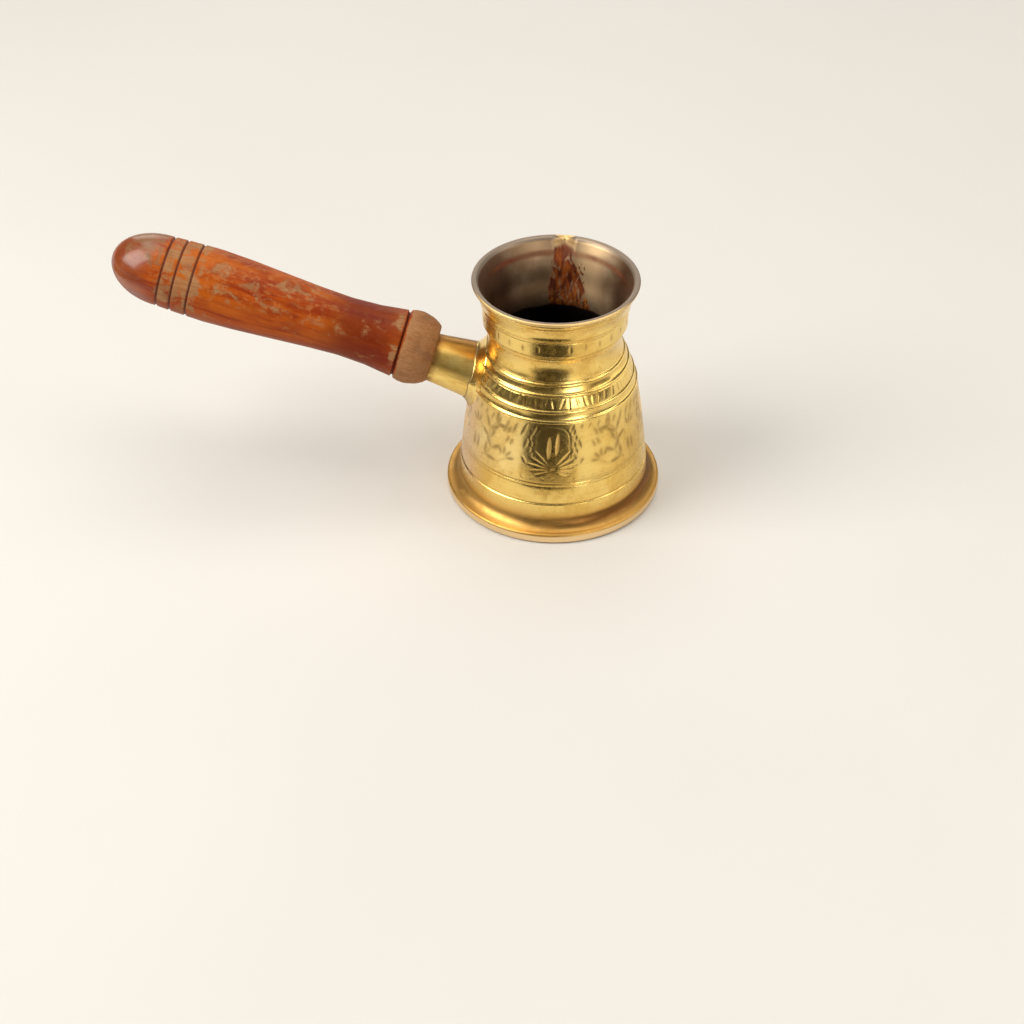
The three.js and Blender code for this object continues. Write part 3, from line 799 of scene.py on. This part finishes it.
# Tin:
TIN, DULL_TIN = (0.56, 0.41, 0.265), (0.36, 0.235, 0.13)
PAINTED_TIN_HIGHLIGHT, SHADED_TIN = (0.97, 0.68, 0.38), (0.055, 0.014, 0.004)
COFFEE, THICK_COFFEE = (0.30, 0.068, 0.008), (0.085, 0.013, 0.003)
FOAM, COFFEE_MIST = (0.50, 0.19, 0.035), (0.17, 0.08, 0.035)
TIDE, LIP_GOLD = (0.17, 0.036, 0.009), (0.62, 0.43, 0.20)
RIM_GREY, NEAR_BLACK_LOW = (0.27, 0.215, 0.165), (0.012, 0.006, 0.004)
WORN_RIM = (0.82, 0.58, 0.24)
# Wood:
LACQUER, DARK_LACQUER = (0.385, 0.068, 0.004), (0.23, 0.027, 0.003)
ORANGE_LACQUER, FLECK = (0.47, 0.115, 0.007), (0.44, 0.150, 0.040)
BLOTCH, WAIST_RED = (0.22, 0.034, 0.006), (0.125, 0.012, 0.0025)
TIP_BROWN, PAINTED_UNDER_SHADE = (0.19, 0.045, 0.014), (0.19, 0.052, 0.024)
BARE_WOOD, BARE_GRAIN = (0.37, 0.195, 0.085), (0.27, 0.128, 0.050)
GREY_WOOD, END_WOOD = (0.17, 0.075, 0.032), (0.19, 0.080, 0.034)
PAINTED_GROOVE_SHADE = (0.095, 0.016, 0.010)
# Heights on the pot, in millimetres.
CREASE_RUN, TIDE_LINE, NEAR_BLACK_EDGE = (4.4, 8.2), (82.4, 84.4), (65.4, 64.0)
# Stretches of the handle, as reach from the pot's axis.
COLLAR_RUN, RING_RUN, WAIST_RUN, GRIP_RUN = (40, 58.4), (60.0, 62.6), (60, 86), (88, 134)
GROOVED_RUN, TIP_RUN = (133.8, 148.4), (150, 158)


def cast_brass():
    """Warm gold with clouds of tarnish, stain round the engraving, turning marks and a faint wave. Painted
    shade darkens the cuts, grooves and crease, and a painted highlight and a painted rosy reflection lie on
    the left.
    """
    f = Finish("cast_brass", Metallic=1.0)
    p = f.place()
    height = f.times(f.split(p)[2], 1000)
    clouds = f.noise(p, 60, 3, 0.6, 0.4)
    fine = f.noise(p, 520, 5, 0.6)
    rings = f.noise(f.stretch(p, (30, 30, 1500)), 1.0, 3)
    cut, stain = f.number("cut"), f.number("stain")
    tarnish = f.span(f.plus(f.times(clouds, 0.65), f.times(fine, 0.35)), 0.46, 0.64)
    gold = f.mix(f.span(clouds, 0.36, 0.62), GOLD, DEEP_GOLD)
    gold = f.mix(f.times(tarnish, 0.42), gold, TARNISH)
    gold = f.mix(f.span(rings, 0.52, 0.70, 0, 0.22), gold, TURNING_MARK)
    gold = f.mix(f.times(stain, 0.85), gold, STAIN)
    flange = f.span(f.plus(height, f.times(clouds, 5.0)), 15.5, 7.4)
    gold = f.mix(f.times(flange, 0.75), gold, FLANGE_BROWN)
    # Painted shade: the band round the crease above the flange is darkened, more on the right.
    painted_crease_shade = f.times(f.between(height, *CREASE_RUN, 1.0), f.span(f.split(p)[0], -0.012, 0.024, 0.2, 1.0))
    gold = f.mix(painted_crease_shade, gold, PAINTED_CREASE_SHADE)
    flange_edge = f.times(f.between(height, 0.3, 2.9, 0.3), 0.7)
    gold = f.mix(flange_edge, gold, EDGE_GOLD)
    # Painted highlight: the left side of the wall is mixed towards a pale gold.
    painted_highlight = f.times(f.span(f.split(p)[0], 0.002, -0.022), f.between(height, 23.0, 47.0, 2.0))
    gold = f.mix(f.times(painted_highlight, f.span(clouds, 0.3, 0.6, 0.6, 0.25)), gold, PAINTED_HIGHLIGHT_GOLD)
    # Painted reflection: a rosy tint on the far left of the wall.
    painted_rosy_reflection = f.times(f.span(f.split(p)[0], -0.021, -0.031), f.between(height, 12.0, 47.0, 3.0))
    gold = f.mix(f.times(painted_rosy_reflection, 0.55), gold, PAINTED_ROSY_REFLECTION)
    bright = f.span(cut, -0.05, -0.6)
    gold = f.mix(bright, gold, BRIGHT_CUT)
    # Painted shade: the cut values darken the engraving, the grooves, the bead edges and the crease above
    # the flange.
    cut = f.most(cut, 0.0)
    f.drive(Base_Color=f.mix(f.times(cut, 0.60), gold, PAINTED_CUT_SHADE))
    rough = f.plus(f.plus(f.times(fine, 0.16), f.times(tarnish, 0.10)), f.plus(f.times(cut, 0.15), 0.15))
    rough = f.plus(rough, f.times(bright, 0.28))
    f.drive(Roughness=f.plus(rough, f.times(flange, 0.18)))
    f.bump((f.noise(p, 120, 2, 0.4), 9e-5), (rings, 9e-6), (fine, 1.4e-5))
    return f


def filed_brass():
    """The pot's brass, filed lengthwise, with grime towards the tip and a painted dark reflection along the
    top.
    """
    f = Finish("filed_brass", Metallic=1.0)
    q = f.vector("handle")
    clouds = f.noise(q, 0.12, 3, 0.6)
    files = f.noise(f.stretch(q, (2.0, 2.0, 0.07)), 1.0, 4, 0.6)
    reach = f.split(q)[2]
    gold = f.mix(f.span(clouds, 0.4, 0.62), FILED_GOLD, FILED_DEEP)
    gold = f.mix(f.span(files, 0.48, 0.70, 0, 0.5), gold, FILE_MARK)
    grime = f.times(f.span(reach, 43.6, 46.6), f.span(f.noise(q, 0.35, 3), 0.3, 0.6, 0.35, 0.8))
    # Painted dark reflection: the top of the ferrule is darkened.
    painted_crest_reflection = f.times(f.span(f.split(q)[0], 6.9, 9.2), 0.95)
    gold = f.mix(painted_crest_reflection, gold, PAINTED_CREST_REFLECTION)
    f.drive(Base_Color=f.mix(grime, gold, GRIME))
    f.drive(Roughness=f.plus(f.times(files, 0.22), f.plus(f.times(grime, 0.2), 0.24)))
    f.bump((clouds, 1.2e-4), (files, 1.8e-5))
    return f


def braze_metal():
    """Orange-gold and lumpy, with an oxidised pink-grey line where it meets the ferrule, and the same
    pink-grey as painted shadow underneath.
    """
    f = Finish("braze_metal", Metallic=1.0)
    q = f.vector("handle")
    lumps = f.noise(q, 0.4, 3, 0.55, 0.3)
    # The mask holds the oxidised line at the ferrule and the painted shadow underneath.
    line = f.times(f.number("oxide_and_shadow"), f.span(f.noise(q, 0.9, 3), 0.25, 0.5, 0.5, 1.0))
    gold = f.mix(f.span(lumps, 0.38, 0.66), BRAZE_GOLD, BRAZE_DEEP)
    f.drive(Base_Color=f.mix(line, gold, OXIDE_AND_SHADOW_GREY))
    f.drive(Roughness=f.plus(f.times(lumps, 0.16), f.plus(f.times(line, 0.3), 0.14)))
    f.bump((lumps, 1.3e-4), (f.noise(q, 4.0, 4), 2e-5))
    return f


def worn_tin():
    """Grey-brown tin with dried coffee below the lip, a tide line, and near black lower down, with a
    painted highlight behind the lip and painted shade at the sides and front.
    """
    f = Finish("worn_tin", Specular_IOR_Level=0.25)
    p = f.place()
    q = f.vector("inside")
    arc, height, radius = f.split(q)
    clouds = f.noise(p, 60, 4, 0.6)
    blots = f.noise(p, 26, 3, 0.55)
    fine = f.noise(p, 700, 4, 0.6)
    grey = f.mix(f.span(clouds, 0.35, 0.65), TIN, DULL_TIN)
    # The arc jumps at the front of the pot, so marks that depend on it keep to the half behind.
    behind = f.span(f.split(p)[1], -0.004, 0.002)
    # Painted highlight: a bright patch on the inner wall behind the lip, to its right.
    bright = f.times(f.times(f.between(arc, 5.5, 16.0, 4.0), behind), f.span(height, 64, 74))
    grey = f.mix(f.times(bright, 0.9), grey, PAINTED_TIN_HIGHLIGHT)
    shaded = f.most(f.span(arc, -13, -27), f.span(arc, 17, 30))
    shaded = f.most(shaded, f.span(behind, 1.0, 0.0))
    grey = f.mix(f.times(shaded, f.span(blots, 0.2, 0.6, 0.97, 0.85)), grey, SHADED_TIN)
    runs = f.noise(f.stretch(q, (0.36, 0.15, 0.0)), 1.0, 5, 0.62, 1.2)
    specks = f.noise(f.stretch(q, (0.8, 0.5, 0.0)), 1.0, 3, 0.6)
    widen = f.span(height, 82, 63, 0.0, 6.5, soft=False)
    shifted = f.plus(arc, f.times(widen, 0.5))
    right_edge = f.minus(arc, f.times(widen, 1.6))
    lane = f.times(f.span(shifted, -5.8, -2.4), f.span(right_edge, 5.4, 2.4))
    lane = f.times(lane, behind)
    drip = f.span(f.plus(f.times(lane, 0.46), runs), 0.72, 0.96)
    dots = f.times(f.between(arc, 5.4, 9.4, 0.8), f.between(height, 66, 80, 1.2))
    drip = f.most(drip, f.times(dots, f.span(specks, 0.54, 0.60)))
    drip = f.times(f.times(drip, behind), f.span(height, 86.4, 84.0))
    fade = f.span(f.noise(p, 70, 4, 0.65), 0.40, 0.62, 0.70, 1.0)
    sideways = f.span(f.math("ABSOLUTE", arc), 40, 22)
    tide = f.times(f.between(height, *TIDE_LINE, 0.8), f.times(fade, f.times(behind, sideways)))
    mist = f.times(f.span(height, 82, 62), f.span(clouds, 0.3, 0.75, 0.2, 0.7))
    thick = f.noise(f.stretch(q, (0.34, 0.13, 0.0), (3, 0, 0)), 1.0, 3, 0.5, 0.8)
    coffee = f.mix(f.span(thick, 0.36, 0.58), COFFEE, THICK_COFFEE)
    foam = f.times(f.span(height, 72, 65), f.span(specks, 0.48, 0.62, 0.1, 0.7))
    coffee = f.mix(foam, coffee, FOAM)
    # Near black below about 65 mm: darker towards the bottom.
    deep = f.span(f.plus(height, f.times(f.noise(p, 160, 3), 2.4)), *NEAR_BLACK_EDGE)
    colour = f.mix(f.times(mist, 0.3), grey, COFFEE_MIST)
    colour = f.mix(f.times(tide, 0.95), colour, TIDE)
    colour = f.mix(drip, colour, coffee)
    channel = f.times(f.between(arc, -3.8, 3.8, 0.7), f.times(behind, f.span(height, 84.6, 86.0)))
    colour = f.mix(f.times(channel, 0.75), colour, LIP_GOLD)
    rim = f.span(height, 87.5, 88.1)
    colour = f.mix(f.times(rim, 0.9), colour, RIM_GREY)
    colour = f.mix(deep, colour, NEAR_BLACK_LOW)
    front = f.span(f.split(p)[1], -0.010, -0.020)
    worn_rim = f.times(front, f.span(radius, 29.35, 29.65))
    lap = f.times(f.span(radius, 29.75, 29.9), f.between(height, 86.5, 88.3, 0.15))
    outside = f.most(f.times(worn_rim, f.span(height, 85.5, 86.5)), lap)
    colour = f.mix(outside, colour, WORN_RIM)
    f.drive(Base_Color=colour)
    dull = f.span(f.most(f.most(drip, deep), f.times(tide, 0.8)), 0.2, 0.7, 0.6, 0.0)
    f.drive(Metallic=dull)
    rough = f.plus(f.times(fine, 0.14), f.times(clouds, 0.16))
    f.drive(Roughness=f.plus(rough, f.span(dull, 0.0, 0.9, 0.45, 0.2)))
    f.bump((f.noise(p, 240, 2), 5e-5), (fine, 8e-6), (f.times(drip, runs), 1.2e-4))
    return f


def lacquered_wood():
    """Red-brown lacquer, worn to grey-tan on the collar, between the grooves and along the upper side, with
    painted shade underneath and in the grooves.
    """
    f = Finish("lacquered_wood", Coat_Roughness=0.22, Specular_IOR_Level=0.10)
    q = f.vector("handle")
    up, side, reach = f.split(q)
    grain = f.noise(f.stretch(q, (0.30, 0.30, 0.020)), 1.0, 5, 0.62, 0.8)
    fibre = f.noise(f.stretch(q, (3.0, 3.0, 0.12)), 1.0, 3, 0.6)
    broad = f.noise(f.stretch(q, (0.09, 0.09, 0.040)), 1.0, 3, 0.5)
    edge = f.noise(f.stretch(q, (0.20, 0.20, 0.15), (7, 2, 0)), 1.0, 6, 0.68, 0.6)
    blotch = f.noise(f.stretch(q, (0.16, 0.16, 0.10)), 1.0, 4, 0.6)
    lacquer = f.mix(f.span(grain, 0.38, 0.62), LACQUER, DARK_LACQUER)
    lacquer = f.mix(f.span(broad, 0.44, 0.66, 0, 0.65), lacquer, ORANGE_LACQUER)
    flecks = f.noise(f.stretch(q, (0.55, 0.55, 0.40)), 1.0, 3, 0.6)
    flecks = f.times(f.span(flecks, 0.52, 0.64), f.span(up, 1.0, 8.0, 0, 0.5))
    lacquer = f.mix(flecks, lacquer, FLECK)
    lacquer = f.mix(f.span(blotch, 0.50, 0.72, 0, 0.55), lacquer, BLOTCH)
    near_waist = f.between(reach, *WAIST_RUN, 9.0)
    lacquer = f.mix(f.times(near_waist, 0.78), lacquer, WAIST_RED)
    dark_tip = f.span(reach, *TIP_RUN)
    lacquer = f.mix(f.times(dark_tip, 0.6), lacquer, TIP_BROWN)
    # Painted shade: the underside is mixed towards a dusky brown.
    underneath = f.span(up, -1.0, -10.0)
    lacquer = f.mix(f.times(underneath, 0.65), lacquer, PAINTED_UNDER_SHADE)
    bare = f.mix(f.span(fibre, 0.35, 0.68), BARE_WOOD, BARE_GRAIN)
    bare = f.mix(f.span(blotch, 0.45, 0.70, 0, 0.55), bare, GREY_WOOD)
    bare = f.mix(f.span(reach, 147, 152, 0, 0.7), bare, END_WOOD)
    top_side = f.span(up, -3.0, 11.0)
    away = f.span(side, 4.0, -9.0, -0.06, -0.01)
    crown = f.times(f.between(reach, *GRIP_RUN, 9.0), f.plus(f.times(top_side, 0.085), away))
    collar_wear = f.times(f.between(reach, *COLLAR_RUN, 0.6), 0.30)
    ring_wear = f.times(f.between(reach, *RING_RUN, 0.9), 0.12)
    band_wear = f.times(f.between(reach, *GROOVED_RUN, 1.2), f.span(up, -9.0, 2.0, 0.03, 0.16))
    end_wear = f.times(f.span(reach, 148.6, 151), f.span(up, 6.0, 12.0, 0.0, 0.17))
    wear = f.plus(f.plus(crown, collar_wear), f.plus(f.plus(ring_wear, band_wear), end_wear))
    worn = f.span(f.plus(edge, wear), 0.560, 0.715)
    groove = f.number("groove")
    colour = f.mix(f.times(worn, 0.9), lacquer, bare)
    # Painted shade in the grooves.
    colour = f.mix(f.span(groove, 0.35, 1.1, 0, 0.95), colour, PAINTED_GROOVE_SHADE)
    f.drive(Base_Color=colour)
    polish = f.times(f.span(reach, 147, 156), f.span(f.minus(up, side), 2.0, 9.0))
    rough = f.plus(f.times(worn, 0.2), f.plus(f.times(fibre, 0.16), 0.38))
    f.drive(Roughness=f.minus(rough, f.times(polish, 0.12)))
    f.drive(Coat_Weight=f.plus(f.times(polish, 0.85), 0.06))
    f.bump((f.times(worn, -1.0), 5e-5), (fibre, 5e-5), (grain, 8e-5), (blotch, 1.2e-4))
    return f


def plain_metal(name, light, dark):
    f = Finish(name, Metallic=1.0)
    p = f.place()
    f.drive(Base_Color=f.mix(f.noise(p, 300), light, dark))
    f.drive(Roughness=f.span(f.noise(p, 900), 0.3, 0.7, 0.28, 0.48))
    return f


cast_brass().on(pot_wall, pot_neck, pot_foot)
filed_brass().on(ferrule)
braze_metal().on(braze)
worn_tin().on(tin_skin)
lacquered_wood().on(wood)
# The fixing inside the handle keeps its CAD shapes.
steel = plain_metal("plain_steel", (0.42, 0.42, 0.43), (0.60, 0.60, 0.60))
steel.on(*(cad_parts[name] for name in ("stud", "lock_washer", "lock_nut")))
inner_brass = plain_metal("plain_brass", (0.70, 0.47, 0.18), (0.50, 0.32, 0.11))
inner_brass.on(*(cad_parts[name] for name in ("root_plug", "threaded_insert")))


# ---- floor, dark cards and light, in metres ----

def stage_mesh(name, points, faces):
    mesh = bpy.data.meshes.new(name)
    mesh.from_pydata(points, [], faces)
    thing = bpy.data.objects.new(name, mesh)
    bpy.context.scene.collection.objects.link(thing)
    return thing


FLOOR, FLOOR_Z = 2.5, -0.0002
corners = [(x * FLOOR, y * FLOOR, FLOOR_Z) for x, y in ((-1, -1), (1, -1), (1, 1), (-1, 1))]
floor = stage_mesh("floor", corners, [(0, 1, 2, 3)])
pale_floor = Finish("pale_floor", Roughness=0.8, Specular_IOR_Level=0.2)
patches = pale_floor.noise(pale_floor.place(), 6.0)
pale_floor.drive(Base_Color=pale_floor.mix(patches, (0.65, 0.64, 0.62), (0.69, 0.68, 0.66)))
pale_floor.on(floor)


def dark_band(name, centre, radius, low, high, start=0, turn=2 * math.pi, capped=False):
    """An upright dark cylinder wall, or part of one, that only shows in reflections."""
    steps = 72
    arcs = [start + turn * k / steps for k in range(steps + 1)]
    ring = [(centre.x + radius * math.cos(a), centre.y + radius * math.sin(a)) for a in arcs]
    points = [(x, y, z) for z in (low, high) for x, y in ring]
    m = steps + 1
    faces = [(k, k + 1, m + k + 1, m + k) for k in range(steps)]
    if capped:
        faces.append(tuple(range(m, 2 * m - 1)))
    band = stage_mesh(name, points, faces)
    band.visible_camera = band.visible_diffuse = band.visible_shadow = False
    return band


toward_camera = math.atan2(-forward.y, -forward.x)


def horizon(name, radius, low, high, turn_from, turn_to):
    """A band round the set between two turns to the right of the camera, in degrees."""
    start, turn = toward_camera + math.radians(turn_from), math.radians(turn_to - turn_from)
    return dark_band(name, Vector((0, 0, 0)), radius, low, high, start, turn)


# A dark cup and its saucer in front, and the dark of the room at the height of the horizon.
cup_place = forward * -0.160 + right * -0.015
tray_place = forward * -0.146 + right * -0.017
cards = [
    dark_band("dark_card", cup_place, 0.066, 0.002, 0.062, capped=True),
    dark_band("dark_tray", tray_place, 0.071, 0.001, 0.008, capped=True),
    horizon("left_band", 0.50, 0.035, 0.19, -115, 13),
    horizon("right_band", 0.50, 0.020, 0.19, 46, 84),
    horizon("left_card", 0.30, 0.001, 0.05, -108, -42),
]
card_dark = Finish("card_black", Roughness=0.6, Specular_IOR_Level=0.2)
patches = card_dark.noise(card_dark.place(), 40)
card_dark.drive(Base_Color=card_dark.mix(patches, (0.040, 0.034, 0.026), (0.062, 0.053, 0.041)))
card_dark.on(*cards)

ROOM_COLOUR, ROOM_STRENGTH = (0.30, 0.275, 0.24, 1), 0.42
world = bpy.data.worlds.new("studio")
bpy.context.scene.world = world
world.use_nodes = True
background = world.node_tree.nodes["Background"]
background.inputs["Color"].default_value = ROOM_COLOUR
background.inputs["Strength"].default_value = ROOM_STRENGTH

AIM, WARM = Vector((0, 0, 0.05)), (1, 0.955, 0.89)


def softbox(name, place, width, height, watts):
    """A soft warm rectangle of light, turned to the pot."""
    data = bpy.data.lights.new(name, "AREA")
    data.shape = "RECTANGLE"
    data.size, data.size_y, data.energy, data.color = width, height, watts, WARM
    lamp = bpy.data.objects.new(name, data)
    bpy.context.scene.collection.objects.link(lamp)
    lamp.location = place
    lamp.rotation_euler = (AIM - Vector(place)).to_track_quat("-Z", "Y").to_euler()


softbox("left_window", (-0.72, -0.34, 0.72), 0.6, 0.8, 9.5)
softbox("front_right_panel", (0.456, -0.664, 0.24), 0.34, 0.34, 1.8)
softbox("right_panel", (0.90, -0.10, 0.60), 0.5, 0.7, 3.2)
softbox("overhead", (0.0, 0.25, 1.2), 1.3, 1.1, 9.5)
softbox("right_low_strip", (0.80, 0.45, 0.13), 0.8, 0.24, 0.9)
softbox("back_strip", (-0.2, 1.1, 0.5), 1.2, 0.5, 3.5)

bpy.context.scene.view_settings.view_transform = "Standard"
